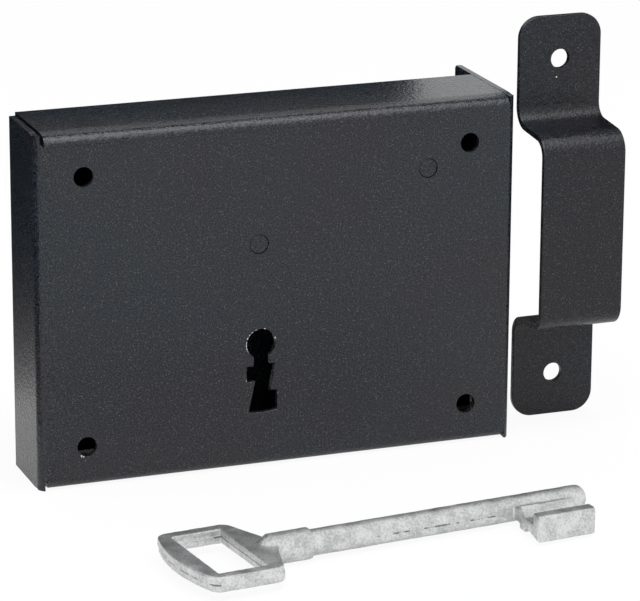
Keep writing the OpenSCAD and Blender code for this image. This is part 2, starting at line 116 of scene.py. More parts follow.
def shown(shape, name):
    """Puts the finished shape in the scene, smooth, with its flats kept flat."""
    mesh = bpy.data.meshes.new(name)
    for face in shape.faces:
        face.smooth = True
        face.material_index = 0
    shape.to_mesh(mesh)
    shape.free()
    piece = bpy.data.objects.new(name, mesh)
    bpy.context.scene.collection.objects.link(piece)
    flats = piece.modifiers.new("flats", "WEIGHTED_NORMAL")
    flats.mode = "FACE_AREA"
    flats.weight = 60
    return piece


def add(tree, kind, inputs=None, **settings):
    """One node, with its settings, and its inputs set or linked."""
    made = tree.nodes.new(kind)
    for key, value in settings.items():
        setattr(made, key, value)
    for socket, value in (inputs or {}).items():
        if isinstance(value, bpy.types.NodeSocket):
            tree.links.new(value, made.inputs[socket])
        else:
            made.inputs[socket].default_value = value
    return made


def maths(tree, operation, a, b=0.0, c=0.0):
    return add(tree, "ShaderNodeMath", {0: a, 1: b, 2: c}, operation=operation).outputs[0]


def fade(tree, value, low, high):
    """0 below low, 1 above high, and smooth between."""
    inputs = {"Value": value, "From Min": low, "From Max": high}
    return add(tree, "ShaderNodeMapRange", inputs, interpolation_type="SMOOTHSTEP").outputs[0]


def blended(tree, share, a, b):
    return add(tree, "ShaderNodeMix", {0: share, 6: a, 7: b}, data_type="RGBA").outputs[2]


def specks(tree, place, scale, detail=2.0, roughness=0.5):
    """Even noise; scale is how many of its lumps go to a metre."""
    inputs = {"Vector": place, "Scale": scale, "Detail": detail, "Roughness": roughness}
    return add(tree, "ShaderNodeTexNoise", inputs).outputs["Fac"]


def new_effect(name, outputs, inputs=()):
    """A shader group with its sockets, its output node and its own object coordinates."""
    tree = bpy.data.node_groups.new(name, "ShaderNodeTree")
    for label, kind in inputs:
        tree.interface.new_socket(label, in_out="INPUT", socket_type=kind)
    for label, kind in outputs:
        tree.interface.new_socket(label, in_out="OUTPUT", socket_type=kind)
    place = add(tree, "ShaderNodeTexCoord").outputs["Object"]
    return tree, add(tree, "NodeGroupOutput"), place


LOOK = [
    ("Colour", "NodeSocketColor"),
    ("Roughness", "NodeSocketFloat"),
    ("Height", "NodeSocketFloat"),
]


def give_look(tree, group_out, colour, roughness, height):
    """Links the three parts of a look to the way out of its group."""
    for (label, kind), value in zip(LOOK, (colour, roughness, height)):
        tree.links.new(value, group_out.inputs[label])


def new_finish(name):
    """A material, its node tree and its Principled shader."""
    material = bpy.data.materials.new(name)
    material.use_nodes = True
    tree = material.node_tree
    return material, tree, tree.nodes["Principled BSDF"]


def use_effect(tree, effect, inputs=None):
    return add(tree, "ShaderNodeGroup", inputs, node_tree=effect).outputs


def wear_look(tree, shader, look, depth):
    """Links a look's gloss and its relief, which is depth metres deep, to the shader."""
    tree.links.new(look["Roughness"], shader.inputs["Roughness"])
    relief = {"Height": look["Height"], "Distance": depth, "Strength": 1.0}
    tree.links.new(add(tree, "ShaderNodeBump", relief).outputs["Normal"], shader.inputs["Normal"])


# Powder coat: slow waves of orange peel, beads and a dense grain on them, and bright flecks
COAT_BLUE = (0.0116, 0.0168, 0.0234, 1)
COAT_VIOLET = (0.0152, 0.0145, 0.0192, 1)
COAT_FLECK = (0.096, 0.101, 0.108, 1)
powder, powder_out, place = new_effect("powder_coat", LOOK, [("Tone", "NodeSocketFloat")])
powder_in = add(powder, "NodeGroupInput")
peel = specks(powder, place, 620.0, 1.0)
grain = specks(powder, place, 2300.0, 2.5, 0.7)
dust = specks(powder, place, 4600.0, 1.0)
bead = specks(powder, place, 1250.0, 1.0)
cell = add(powder, "ShaderNodeTexVoronoi", {"Vector": place, "Scale": 2700.0})
chance = add(powder, "ShaderNodeSeparateColor", {0: cell.outputs["Color"]}).outputs[0]
near = fade(powder, cell.outputs["Distance"], 0.44, 0.20)
fleck = maths(powder, "MULTIPLY", fade(powder, chance, 0.72, 1.0), near)
drift = fade(powder, specks(powder, place, 20.0), 0.38, 0.62)
tint = blended(powder, drift, COAT_BLUE, COAT_VIOLET)
mixed_grain = maths(powder, "MULTIPLY_ADD", grain, 0.7, maths(powder, "MULTIPLY", dust, 0.3))
shade = maths(powder, "MULTIPLY_ADD", fade(powder, mixed_grain, 0.38, 0.62), 1.9, 0.05)
shade = maths(powder, "MULTIPLY", shade, powder_in.outputs["Tone"])
grained = add(
    powder, "ShaderNodeVectorMath", {0: tint, "Scale": shade}, operation="SCALE"
).outputs[0]
bumps = maths(powder, "MULTIPLY_ADD", peel, 0.8, maths(powder, "MULTIPLY", grain, 0.8))
bumps = maths(powder, "MULTIPLY_ADD", bead, 1.4, bumps)
give_look(
    powder,
    powder_out,
    blended(powder, fleck, grained, COAT_FLECK),
    maths(powder, "MULTIPLY_ADD", grain, 0.16, 0.15),
    maths(powder, "MULTIPLY_ADD", fleck, 0.4, bumps),
)

# Rub: bare metal where a key or a screw has worn an edge, within Reach of Centre
BARE_STEEL = (0.72, 0.70, 0.69, 1)
rub, rub_out, place = new_effect(
    "rubbed_place",
    [("Mask", "NodeSocketFloat")],
    [("Centre", "NodeSocketVector"), ("Reach", "NodeSocketFloat")],
)
rub_in = add(rub, "NodeGroupInput")
apart = add(
    rub,
    "ShaderNodeVectorMath",
    {0: place, 1: rub_in.outputs["Centre"]},
    operation="DISTANCE",
).outputs["Value"]
ragged = maths(rub, "MULTIPLY_ADD", specks(rub, place, 2600.0, 3.0, 0.7), 1.3, 0.35)
inside = maths(rub, "DIVIDE", apart, maths(rub, "MULTIPLY", rub_in.outputs["Reach"], ragged))
rub.links.new(fade(rub, inside, 1.05, 0.85), rub_out.inputs["Mask"])


def coat_finish(name, rubbed=(), tone=1.0, gloss=0.38):
    """Black powder coat, worn to bare steel near the places (x, y, z, reach), all in mm."""
    material, tree, shader = new_finish(name)
    look = use_effect(tree, powder, {"Tone": tone})
    colour = look["Colour"]
    if rubbed:
        bare = None
        for x, y, z, reach in rubbed:
            spot = {"Centre": (x * MM, y * MM, z * MM), "Reach": reach * MM}
            one = use_effect(tree, rub, spot)["Mask"]
            bare = one if bare is None else maths(tree, "MAXIMUM", bare, one)
        colour = blended(tree, bare, colour, BARE_STEEL)
        tree.links.new(bare, shader.inputs["Metallic"])
    tree.links.new(colour, shader.inputs["Base Color"])
    wear_look(tree, shader, look, 0.00010)
    shader.inputs["Specular IOR Level"].default_value = gloss
    return material


# Folds: their outer radius, and how far, how steeply and in what curve they run out
X, Y, Z = 0, 1, 2
FOLD_R = 2.4 * MM
RUN_OUT = 2.8 * MM
RUN_SLOPE = 0.14
RUN_CURVE = 1.4
RUN_CUTS = (0.3, 0.6, 0.8, 0.92, 1.0)
HAIR = 0.01 * MM


def run_out(shape, flat, flat_at, inwards, along, corner_at):
    """A pressed fold dies away into the flat beside it: the last millimetres of the flat sag.

    flat is the axis square to that flat, along the axis that leads away from the corner.
    """
    slope = math.atan(RUN_SLOPE)
    sag = RUN_SLOPE * RUN_OUT / RUN_CURVE
    round_r = FOLD_R / (1 - math.sin(slope))
    round_depth = sag + round_r * math.cos(slope)
    faces = []
    for face in shape.faces:
        off = abs(face.calc_center_median()[flat] - flat_at)
        if abs(face.normal[flat]) > 0.999 and off < HAIR:
            faces.append(face)
    for share in RUN_CUTS:
        point = [0.0, 0.0, 0.0]
        point[along] = corner_at + FOLD_R + share * RUN_OUT
        normal = [0.0, 0.0, 0.0]
        normal[along] = 1.0
        edges = dict.fromkeys(edge for face in faces for edge in face.edges)
        verts = dict.fromkeys(vert for face in faces for vert in face.verts)
        cut = bmesh.ops.bisect_plane(
            shape, geom=[*verts, *edges, *faces], dist=1e-7, plane_co=point, plane_no=normal
        )
        faces = [item for item in cut["geom"] if isinstance(item, bmesh.types.BMFace)]
    for vert in shape.verts:
        away = vert.co[along] - corner_at
        depth = (flat_at - vert.co[flat]) * inwards
        if abs(depth) < HAIR and FOLD_R - HAIR < away < FOLD_R + RUN_OUT:
            depth = sag * ((FOLD_R + RUN_OUT - away) / RUN_OUT) ** RUN_CURVE
        elif away < FOLD_R and -HAIR < depth < FOLD_R + HAIR:
            if abs(math.hypot(away - FOLD_R, depth - FOLD_R) - FOLD_R) > 3 * HAIR:
                continue
            turn = math.atan2(FOLD_R - away, FOLD_R - depth)
            turn = slope + turn * (math.pi / 2 - slope) / (math.pi / 2)
            away = round_r - round_r * math.sin(turn)
            depth = round_depth - round_r * math.cos(turn)
        else:
            continue
        vert.co[along] = corner_at + away
        vert.co[flat] = flat_at - depth * inwards


# Rims of the openings: how near the face counts as on it, and where the fixing holes are in mm
ON_FACE = 0.05 * MM
HOLES_X, HOLES_Z = 4.85, 12.55
HOLES_HALF_X, HOLES_HALF_Z = 50.25, 34.25


def keyhole_rim(middle):
    """Front edges of the keyhole, which the punch draws in a little."""
    beside = abs(middle.x) < 6.0 * MM and -20.0 * MM < middle.z < 6.0 * MM
    return abs(middle.y) < ON_FACE and beside


def hole_rims(middle):
    """Front edges of the four fixing holes."""
    off_x = abs(middle.x / MM - HOLES_X) - HOLES_HALF_X
    off_z = abs(middle.z / MM - HOLES_Z) - HOLES_HALF_Z
    return abs(middle.y) < ON_FACE and math.hypot(off_x, off_z) < 3.0


def lip_rims(middle):
    """Edges of the lip behind the flanges, where the coat gathers."""
    return middle.y > 26.0 * MM and middle.x > 65.0 * MM


# Where the key's bit has rubbed the keyhole, most at its left, and two chips by a fixing hole
case_rubs = [
    (-3.64, 0.20, 0.50, 0.46),
    (-3.68, 0.20, -0.20, 0.52),
    (-3.60, 0.20, -0.90, 0.46),
    (-3.36, 0.20, -1.55, 0.38),
    (-3.50, 0.25, 1.65, 0.42),
    (-3.00, 0.25, 2.40, 0.40),
    (-2.30, 0.25, 3.05, 0.38),
    (-1.45, 0.25, 3.55, 0.36),
    (0.80, 0.20, 3.74, 0.32),
    (3.60, 0.25, 1.20, 0.32),
    (2.15, 0.30, -3.30, 0.26),
    (-3.80, 0.20, -9.20, 0.36),
    (4.00, 0.20, -13.40, 0.30),
    (-46.85, 0.15, -24.00, 0.30),
    (-46.35, 0.15, -24.22, 0.24),
]
case_coat = coat_finish("case_black_coat", case_rubs)
case_shape = node_copy("lock_case")
run_out(case_shape, flat=Z, flat_at=CASE_TOP, inwards=1, along=Y, corner_at=0.0)
run_out(case_shape, flat=Z, flat_at=FLOOR_Z, inwards=-1, along=Y, corner_at=0.0)
run_out(case_shape, flat=Y, flat_at=0.0, inwards=-1, along=X, corner_at=CASE_LEFT)
roll_edges(case_shape, sharp_edges(case_shape, keyhole_rim), 0.36 * MM, 4)
roll_edges(case_shape, sharp_edges(case_shape, hole_rims), 0.30 * MM, 3)
roll_edges(case_shape, sharp_edges(case_shape, lip_rims), 0.42 * MM, 3)
roll_edges(case_shape, sharp_edges(case_shape), 0.22 * MM, 2)
case = shown(case_shape, "lock_case_coated")
case.data.materials.append(case_coat)
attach(case, "lock")
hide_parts("lock_case")

# Posts
# Two turned steel posts carry the bolt and the tumbler; each is riveted over in a hole of the face.
# The riveted ends are dressed just under the face and coated with the case; inside they stay bright.
END_SET_BACK = 0.10 * MM
TURNED_PALE = (0.60, 0.60, 0.61, 1)
TURNED_DULL = (0.46, 0.45, 0.44, 1)
turned, turned_out, place = new_effect("turned_steel", LOOK)
rings = add(turned, "ShaderNodeMapping", {"Vector": place, "Scale": (0.25, 5.0, 0.25)}).outputs[0]
marks = specks(turned, rings, 1500.0, 3.0, 0.6)
stain = specks(turned, place, 160.0, 3.0)
give_look(
    turned,
    turned_out,
    blended(turned, fade(turned, stain, 0.3, 0.75), TURNED_PALE, TURNED_DULL),
    maths(turned, "MULTIPLY_ADD", marks, 0.22, 0.20),
    marks,
)


def metal_finish(name, effect, depth):
    """Bare metal whose colour, gloss and relief come from one of the shared groups."""
    material, tree, shader = new_finish(name)
    look = use_effect(tree, effect)
    shader.inputs["Metallic"].default_value = 1.0
    tree.links.new(look["Colour"], shader.inputs["Base Color"])
    wear_look(tree, shader, look, depth)
    return material


post_steel = metal_finish("post_steel", turned, 0.000008)
post_coat = coat_finish("post_end_coat")


def riveted_post(node, name):
    """Post with its end set back a hair from the face, rounded over, and coated there."""
    shape = node_copy(node)
    for vert in shape.verts:
        if vert.co.y < ON_FACE:
            vert.co.y = END_SET_BACK
    end_rim = sharp_edges(shape, lambda middle: middle.y < 2 * END_SET_BACK)
    roll_edges(shape, end_rim, 0.42 * MM, 4)
    roll_edges(shape, sharp_edges(shape), 0.12 * MM, 2)
    ends = [face.index for face in shape.faces if face.calc_center_median().y < 1.0 * MM]
    piece = shown(shape, name)
    piece.data.materials.append(post_steel)
    piece.data.materials.append(post_coat)
    for index in ends:
        piece.data.polygons[index].material_index = 1
    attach(piece, "lock")
    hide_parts(node)


riveted_post("guide_post", "guide_post_riveted")
riveted_post("pivot_post", "pivot_post_riveted")

# Guide sleeve
# A short turned tube on the guide post that keeps the tumbler close to the bolt.
# It is cut off bright bar and left plain.


def eased_copy(node, name, width, segments=2):
    """Copy of a CAD node as the tool and the finish leave it: no edge is knife sharp."""
    shape = node_copy(node)
    roll_edges(shape, sharp_edges(shape), width, segments)
    return shown(shape, name)


sleeve = eased_copy("guide_sleeve", "guide_sleeve_turned", 0.18 * MM)
sleeve.data.materials.append(post_steel)
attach(sleeve, "lock")
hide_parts("guide_sleeve")

# Bolt
# A solid drawn-steel head and a tail cut from plate, lapped and riveted together.
# The head's end is ground, the tail shows the rolled skin, with light scoring from its slides.
ROLLED_PALE = (0.50, 0.50, 0.51, 1)
ROLLED_DARK = (0.33, 0.33, 0.35, 1)
rolled, rolled_out, place = new_effect("rolled_steel", LOOK)
along = add(rolled, "ShaderNodeMapping", {"Vector": place, "Scale": (0.06, 1.0, 1.0)}).outputs[0]
score = specks(rolled, along, 2600.0, 4.0, 0.65)
patch = specks(rolled, place, 120.0, 4.0, 0.6)
give_look(
    rolled,
    rolled_out,
    blended(rolled, fade(rolled, patch, 0.32, 0.70), ROLLED_PALE, ROLLED_DARK),
    maths(rolled, "MULTIPLY_ADD", patch, 0.25, maths(rolled, "MULTIPLY_ADD", score, 0.12, 0.18)),
    score,
)

head_steel = metal_finish("bolt_head_steel", rolled, 0.000006)
tail_steel = metal_finish("bolt_tail_steel", rolled, 0.000012)
head = eased_copy("bolt_head", "bolt_head_ground", 0.20 * MM)
head.data.materials.append(head_steel)
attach(head, "bolt")
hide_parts("bolt_head")
tail = eased_copy("bolt_tail", "bolt_tail_cut", 0.18 * MM)
tail.data.materials.append(tail_steel)
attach(tail, "bolt")
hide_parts("bolt_tail")

# Bolt rivets
# Two soft steel rivets go through head and tail and are hammered flush at both ends.
# Their ends are slightly domed and brighter than the plate.
rivet_steel = metal_finish("rivet_steel", turned, 0.000010)
rivets = eased_copy("bolt_rivets", "bolt_rivets_hammered", 0.30 * MM, segments=4)
rivets.data.materials.append(rivet_steel)
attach(rivets, "bolt")
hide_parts("bolt_rivets")

# Tumbler
# The lever is blanked from steel plate and swings on the pivot post; the stump is pressed in it.
# Its rims are rolled over by the blanking die.
tumbler_steel = metal_finish("tumbler_steel", rolled, 0.000012)
tumbler = eased_copy("tumbler", "tumbler_blanked", 0.20 * MM)
tumbler.data.materials.append(tumbler_steel)
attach(tumbler, "tumbler")
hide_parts("tumbler")
stump = eased_copy("tumbler_stump", "tumbler_stump_pressed", 0.25 * MM, segments=3)
stump.data.materials.append(post_steel)
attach(stump, "tumbler")
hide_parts("tumbler_stump")

# Tumbler spring
# Hard-drawn spring wire, wound one and a half turns on the pivot post.
# The short leg bears on the top flange and the long leg hooks over the tumbler's arm.
COIL_X, COIL_Z = 44.0, 41.2
COIL_R = 3.8
COIL_FRONT, COIL_BACK = 19.3, 21.4
COIL_RISE = 2.1
COIL_STEPS = 36
STEP_DEGREES = 15
wire_steel = metal_finish("spring_wire_steel", turned, 0.000004)
spring_path = [(COIL_X + COIL_R, COIL_BACK, 56.0)]
for step in range(COIL_STEPS + 1):
    turn = math.radians(STEP_DEGREES * step)
    x = COIL_X + COIL_R * math.cos(turn)
    z = COIL_Z - COIL_R * math.sin(turn)
    spring_path.append((x, COIL_BACK - COIL_RISE * step / COIL_STEPS, z))
spring_path += [(30.0, COIL_FRONT, 45.35), (19.4, COIL_FRONT, 45.37)]
spring_path += [(18.2, 18.6, 45.37), (17.0, 17.45, 45.37)]
wire_curve = bpy.data.curves.new("spring_wire_curve", "CURVE")
wire_curve.dimensions = "3D"
wire_curve.bevel_depth = 0.4 * MM
wire_curve.bevel_resolution = 3
wire_curve.use_fill_caps = True
wire_line = wire_curve.splines.new("POLY")
wire_line.points.add(len(spring_path) - 1)
for point, (x, y, z) in zip(wire_line.points, spring_path):
    point.co = (x * MM, y * MM, z * MM, 1)
wire_drawn = bpy.data.objects.new("spring_wire_drawn", wire_curve)
bpy.context.scene.collection.objects.link(wire_drawn)
wire_mesh = bpy.data.meshes.new_from_object(wire_drawn)
bpy.data.objects.remove(wire_drawn)
for face in wire_mesh.polygons:
    face.use_smooth = True
spring = bpy.data.objects.new("tumbler_spring_wound", wire_mesh)
bpy.context.scene.collection.objects.link(spring)
spring.data.materials.clear()
spring.data.materials.append(wire_steel)
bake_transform(spring)
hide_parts("tumbler_spring")

# Back plate
# A flat blanked cover, coated like the case, that drops between the flanges.
# Two screws hold it to the posts.
cover = eased_copy("back_plate", "back_plate_coated", 0.20 * MM)
cover_coat = coat_finish("cover_black_coat", [(3.6, 23.4, 1.5, 0.7), (3.3, 23.4, -8.0, 0.5)])
cover.data.materials.append(cover_coat)
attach(cover, "lock")
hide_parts("back_plate")

# Cover screws
# Small pan-head machine screws with a cross recess, zinc plated.
# The plating is a little blue and dulls in patches.
PLATED_PALE = (0.62, 0.64, 0.66, 1)
PLATED_DULL = (0.50, 0.52, 0.55, 1)
plated, plated_out, place = new_effect("plated_steel", LOOK)
bloom = specks(plated, place, 900.0, 3.0, 0.6)
give_look(
    plated,
    plated_out,
    blended(plated, fade(plated, bloom, 0.3, 0.7), PLATED_PALE, PLATED_DULL),
    maths(plated, "MULTIPLY_ADD", bloom, 0.18, 0.22),
    bloom,
)
screw_zinc = metal_finish("screw_plated_steel", plated, 0.000006)
screws = eased_copy("cover_screws", "cover_screws_plated", 0.30 * MM, segments=3)
screws.data.materials.append(screw_zinc)
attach(screws, "lock")
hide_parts("cover_screws")

# Keep
# The keep is a steel strap bent into a bridge that the bolt shoots behind, with a drilled tab at
# each end. It has the same powder coat as the case, thicker in the bends.
KEEP_X, KEEP_Z = 85.55, 20.9
keep_flecks = [(84.6, 14.2, 58.1, 0.20)]


def strap_edges(middle):
    """Edges of the strap itself, without the rims of its two holes."""
    off_x = abs(middle.x / MM - KEEP_X)
    off_z = abs(middle.z / MM - KEEP_Z)
    return off_x > 3 or 14.0 < off_z < 38.9 or off_z > 45


keep_coat = coat_finish("keep_black_coat", keep_flecks, tone=0.75, gloss=0.32)
keep_shape = node_copy("keep")
roll_edges(keep_shape, sharp_edges(keep_shape, strap_edges), 0.28 * MM, 3)
roll_edges(keep_shape, sharp_edges(keep_shape), 0.12 * MM, 2)
keep = shown(keep_shape, "keep_coated")
keep.data.materials.append(keep_coat)
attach(keep, "lock")
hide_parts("keep")

# Key
# One zinc die casting, in millimetres along x from the far end of its bow, its bit towards -y.
# The two halves of the die meet on z = 0 a little out of line, and the flash was only broken off.
BOW_HALF_WIDTH = 16.0
BOW_ARCH = 2.8
BOW_SHOULDER = 20.5
BOW_HOLE_FAR, BOW_HOLE_NEAR = 5.3, 17.8
BOW_HOLE_HALF = 12.8
NECK = 25.1
NECK_HALF_WIDTH = 3.3
KEY_END = 109.2
LAID_FROM = 36.0
key_place = (
    Matrix.Scale(MM, 4)
    @ Matrix.Translation((-9.6, -63.8, -28.5))
    @ Matrix.Rotation(math.radians(6.8), 4, "Z")
    @ Matrix.Rotation(math.radians(0.3488), 4, "Y")
    @ Matrix.Translation((-LAID_FROM, 0, 0))
)


def bow_half():
    """Upper half of the bow: a ring with drafted sides and a chamfer, from the die's joint up."""
    half = bmesh.new()
    outline = [(BOW_ARCH, -BOW_HALF_WIDTH), (BOW_SHOULDER, -BOW_HALF_WIDTH)]
    outline += [(NECK, -NECK_HALF_WIDTH), (NECK, NECK_HALF_WIDTH)]
    outline += [(BOW_SHOULDER, BOW_HALF_WIDTH), (BOW_ARCH, BOW_HALF_WIDTH)]
    corners = [half.verts.new((x, y, 0)) for x, y in outline]
    half.faces.new(corners)
    far_edge = half.edges.get((corners[5], corners[0]))
    bmesh.ops.subdivide_edges(half, edges=[far_edge], cuts=8)
    for vert in half.verts:
        if vert.co.x < BOW_ARCH + 0.1:
            vert.co.x -= BOW_ARCH * (1 - (vert.co.y / BOW_HALF_WIDTH) ** 2)
    half.verts.ensure_lookup_table()
    bmesh.ops.bevel(
        half,
        geom=[vert for vert in half.verts if abs(vert.co.y) > BOW_HALF_WIDTH - 0.1],
        offset=2.0,
        offset_type="OFFSET",
        segments=5,
        profile=0.5,
        affect="VERTICES",
        clamp_overlap=True,
        material=-1,
    )
    cuts = [((x, 0, 0), (1, 0, 0)) for x in (BOW_HOLE_FAR, BOW_HOLE_NEAR)]
    cuts += [((0, y, 0), (0, 1, 0)) for y in (-BOW_HOLE_HALF, BOW_HOLE_HALF)]
    for point, normal in cuts:
        geom = half.verts[:] + half.edges[:] + half.faces[:]
        bmesh.ops.bisect_plane(half, geom=geom, dist=1e-4, plane_co=point, plane_no=normal)
    for face in half.faces[:]:
        middle = face.calc_center_median()
        if BOW_HOLE_FAR < middle.x < BOW_HOLE_NEAR and abs(middle.y) < BOW_HOLE_HALF:
            bmesh.ops.delete(half, geom=[face], context="FACES_ONLY")
            break
    risen = bmesh.ops.extrude_face_region(half, geom=half.faces[:])["geom"]
    bmesh.ops.translate(
        half,
        verts=[item for item in risen if isinstance(item, bmesh.types.BMVert)],
        vec=(0, 0, 0.25),
    )
    bmesh.ops.recalc_face_normals(half, faces=half.faces)
    tops = [face for face in half.faces if face.calc_center_median().z > 0.249]
    # Over the short upright wall come the drafted side and then the chamfer
    bmesh.ops.inset_region(half, faces=tops, thickness=0.10, depth=1.42, use_even_offset=True)
    bmesh.ops.inset_region(half, faces=tops, thickness=0.16, depth=0.18, use_even_offset=True)
    return half


def join_on(into, part):
    """Adds a part to the casting and frees it."""
    mesh = bpy.data.meshes.new("casting_part")
    part.to_mesh(mesh)
    part.free()
    into.from_mesh(mesh)
    bpy.data.meshes.remove(mesh)


casting = bmesh.new()
join_on(casting, bow_half())
lower = bow_half()
bmesh.ops.scale(lower, vec=(1, 1, -1), verts=lower.verts)
bmesh.ops.translate(lower, vec=(0.22, -0.16, 0.04), verts=lower.verts)
bmesh.ops.reverse_faces(lower, faces=lower.faces)
join_on(casting, lower)

# Collar, shank and pin: one profile (x, radius) turned round the key's axis
turned_part = bmesh.new()
profile = [(20.9, 0), (21.0, 1.3), (21.8, 2.3), (22.8, 3.0), (23.5, 3.32), (23.7, 3.22)]
profile += [(23.9, 3.70), (24.2, 3.8), (34.5, 3.8), (34.6, 3.0), (34.9, 3.0), (35.1, 3.15)]
profile += [(KEY_END, 3.15), (KEY_END, 0)]
line = [turned_part.verts.new((x, 0, r)) for x, r in profile]
steps = [turned_part.edges.new(pair) for pair in zip(line, line[1:])]
bmesh.ops.spin(
    turned_part,
    geom=line + steps,
    cent=(0, 0, 0),
    axis=(1, 0, 0),
    angle=2 * math.pi,
    steps=64,
    use_merge=True,
    use_duplicate=False,
)
bmesh.ops.remove_doubles(turned_part, verts=turned_part.verts, dist=1e-4)
bmesh.ops.recalc_face_normals(turned_part, faces=turned_part.faces)
pin_rim = sharp_edges(turned_part, lambda middle: middle.x > KEY_END - 0.1)
roll_edges(turned_part, pin_rim, 2.2, 6)
join_on(casting, turned_part)

# Bit: the keyhole's outline (z, y) less its play, with rounded block ends
BIT_END = 102.5
BIT_LENGTH = 15.8
BIT_SLANT = 2.0
BIT_REACH = 17.5


def tip_edge(edge):
    """True for an edge across the bit's tip, at either end of its block."""
    start, end = edge.verts[0].co, edge.verts[1].co
    return abs(start.x - end.x) < 0.1 and (start.y + end.y) / 2 < -17.2


bit = bmesh.new()
outline = [(1.6, 0.0), (1.6, -5.6), (2.9, -6.1), (0.9, -9.4), (0.9, -13.7), (3.8, -13.9)]
outline += [(3.8, -17.1), (3.45, -17.4), (0.5, -17.55), (-2.7, -17.5), (-1.4, -9.35)]
outline += [(-2.8, -9.35), (-2.8, -6.15), (-1.55, -6.15), (-1.55, 0.0)]
side = bit.faces.new([bit.verts.new((BIT_END, y, z)) for z, y in outline])
pulled = bmesh.ops.extrude_face_region(bit, geom=[side])["geom"]
for item in pulled:
    if isinstance(item, bmesh.types.BMVert):
        item.co.x -= BIT_LENGTH - BIT_SLANT * (1 + item.co.y / BIT_REACH)
bmesh.ops.recalc_face_normals(bit, faces=bit.faces)
roll_edges(bit, [edge for edge in bit.edges if tip_edge(edge)], 0.9, 4)
roll_edges(bit, sharp_edges(bit, lambda middle: middle.y < -4.0), 0.28, 2)
join_on(casting, bit)

# Skin of the casting: all parts run together, edges soften, and the surface goes slightly uneven
SKIN_VOXEL = 0.205 * MM
casting.transform(key_place)
rough_mesh = bpy.data.meshes.new("key_rough")
casting.to_mesh(rough_mesh)
casting.free()
rough_key = bpy.data.objects.new("key_rough", rough_mesh)
bpy.context.scene.collection.objects.link(rough_key)
skin = rough_key.modifiers.new("skin", "REMESH")
skin.mode = "VOXEL"
skin.voxel_size = SKIN_VOXEL
skin.use_smooth_shade = True
bpy.context.view_layer.update()
cast_mesh = bpy.data.meshes.new_from_object(
    rough_key.evaluated_get(bpy.context.evaluated_depsgraph_get())
)
bpy.data.objects.remove(rough_key)
cast = bmesh.new()
cast.from_mesh(cast_mesh)
for again in range(2):
    bmesh.ops.smooth_vert(
        cast, verts=cast.verts, factor=0.5, use_axis_x=True, use_axis_y=True, use_axis_z=True
    )
cast.normal_update()

# Flash: whole inside the bow's near bar, ragged at its far end and on the shank, faint elsewhere
JOINT_HALF = 0.24
FLASH_HEIGHT = 0.08
FLASH_CHIPS = 0.16
BOW_FAR_END = 4.6
NEAR_BAR_START, NEAR_BAR_END = 16.0, 18.8
TORN_SHANK_START, TORN_SHANK_END = 54.0, 83.0
parting = cast.verts.layers.float.new("parting")
to_key = key_place.inverted()
for vert in cast.verts:
    spot = to_key @ vert.co
    waves = 0.045 * noise.noise(spot * 0.45) + 0.022 * noise.noise(spot * 1.7)
    joint = math.exp(-((spot.z / JOINT_HALF) ** 2))
    torn = 0.45 + 1.5 * noise.noise(Vector((spot.x * 0.3, spot.y * 0.3, 3.0)))
    torn += 0.9 * noise.noise(Vector((spot.x * 1.4, spot.y * 1.4, 8.0)))
    if NEAR_BAR_START < spot.x < NEAR_BAR_END and abs(spot.y) < BOW_HOLE_HALF + 0.1:
        torn = 1.0
    elif spot.x < BOW_FAR_END:
        torn *= 1.5
    elif TORN_SHANK_START < spot.x < TORN_SHANK_END:
        torn *= 1.1
    else:
        torn *= 0.3
    torn = max(0.0, min(1.0, torn))
    wall = 1.0 - abs((to_key.to_3x3() @ vert.normal).normalized().z)
    vert[parting] = joint * torn * wall
    flash = FLASH_HEIGHT + FLASH_CHIPS * noise.noise(spot * 2.6)
    vert.co += vert.normal * MM * (waves + joint * wall * torn * flash)
    vert.co.z = max(vert.co.z, FLOOR_Z)
cast.to_mesh(cast_mesh)
cast.free()
for face in cast_mesh.polygons:
    face.use_smooth = True
key = bpy.data.objects.new("key_cast", cast_mesh)
bpy.context.scene.collection.objects.link(key)

# Cast zinc: cloudy, pitted and finely rough, with grime along the torn joint
ZINC_DULL = (0.43, 0.44, 0.445, 1)
ZINC_PALE = (0.70, 0.705, 0.70, 1)
GRIME = (0.13, 0.13, 0.13, 1)
cast_skin, cast_out, place = new_effect("cast_skin", LOOK, [("Joint", "NodeSocketFloat")])
cast_in = add(cast_skin, "NodeGroupInput")
cloud = specks(cast_skin, place, 260.0)
pits = specks(cast_skin, place, 1700.0, 3.0, 0.7)
fine = specks(cast_skin, place, 4200.0, 2.0, 0.6)
tone = maths(cast_skin, "MULTIPLY_ADD", pits, 0.9, maths(cast_skin, "MULTIPLY", cloud, 0.6))
zinc = blended(cast_skin, fade(cast_skin, tone, 0.56, 0.94), ZINC_DULL, ZINC_PALE)
grime = maths(cast_skin, "MULTIPLY", fade(cast_skin, cast_in.outputs["Joint"], 0.20, 0.62), 0.85)
give_look(
    cast_skin,
    cast_out,
    blended(cast_skin, grime, zinc, GRIME),
    maths(cast_skin, "MULTIPLY_ADD", cloud, 0.16, 0.30),
    maths(cast_skin, "MULTIPLY_ADD", pits, 0.8, maths(cast_skin, "MULTIPLY", fine, 0.35)),
)

key_zinc, tree, shader = new_finish("key_cast_zinc")
joint_line = add(tree, "ShaderNodeAttribute", attribute_name="parting").outputs["Fac"]
look = use_effect(tree, cast_skin, {"Joint": joint_line})
shader.inputs["Metallic"].default_value = 0.90
tree.links.new(look["Colour"], shader.inputs["Base Color"])
wear_look(tree, shader, look, 0.00007)
key.data.materials.append(key_zinc)
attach(key, "key")
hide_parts("key")

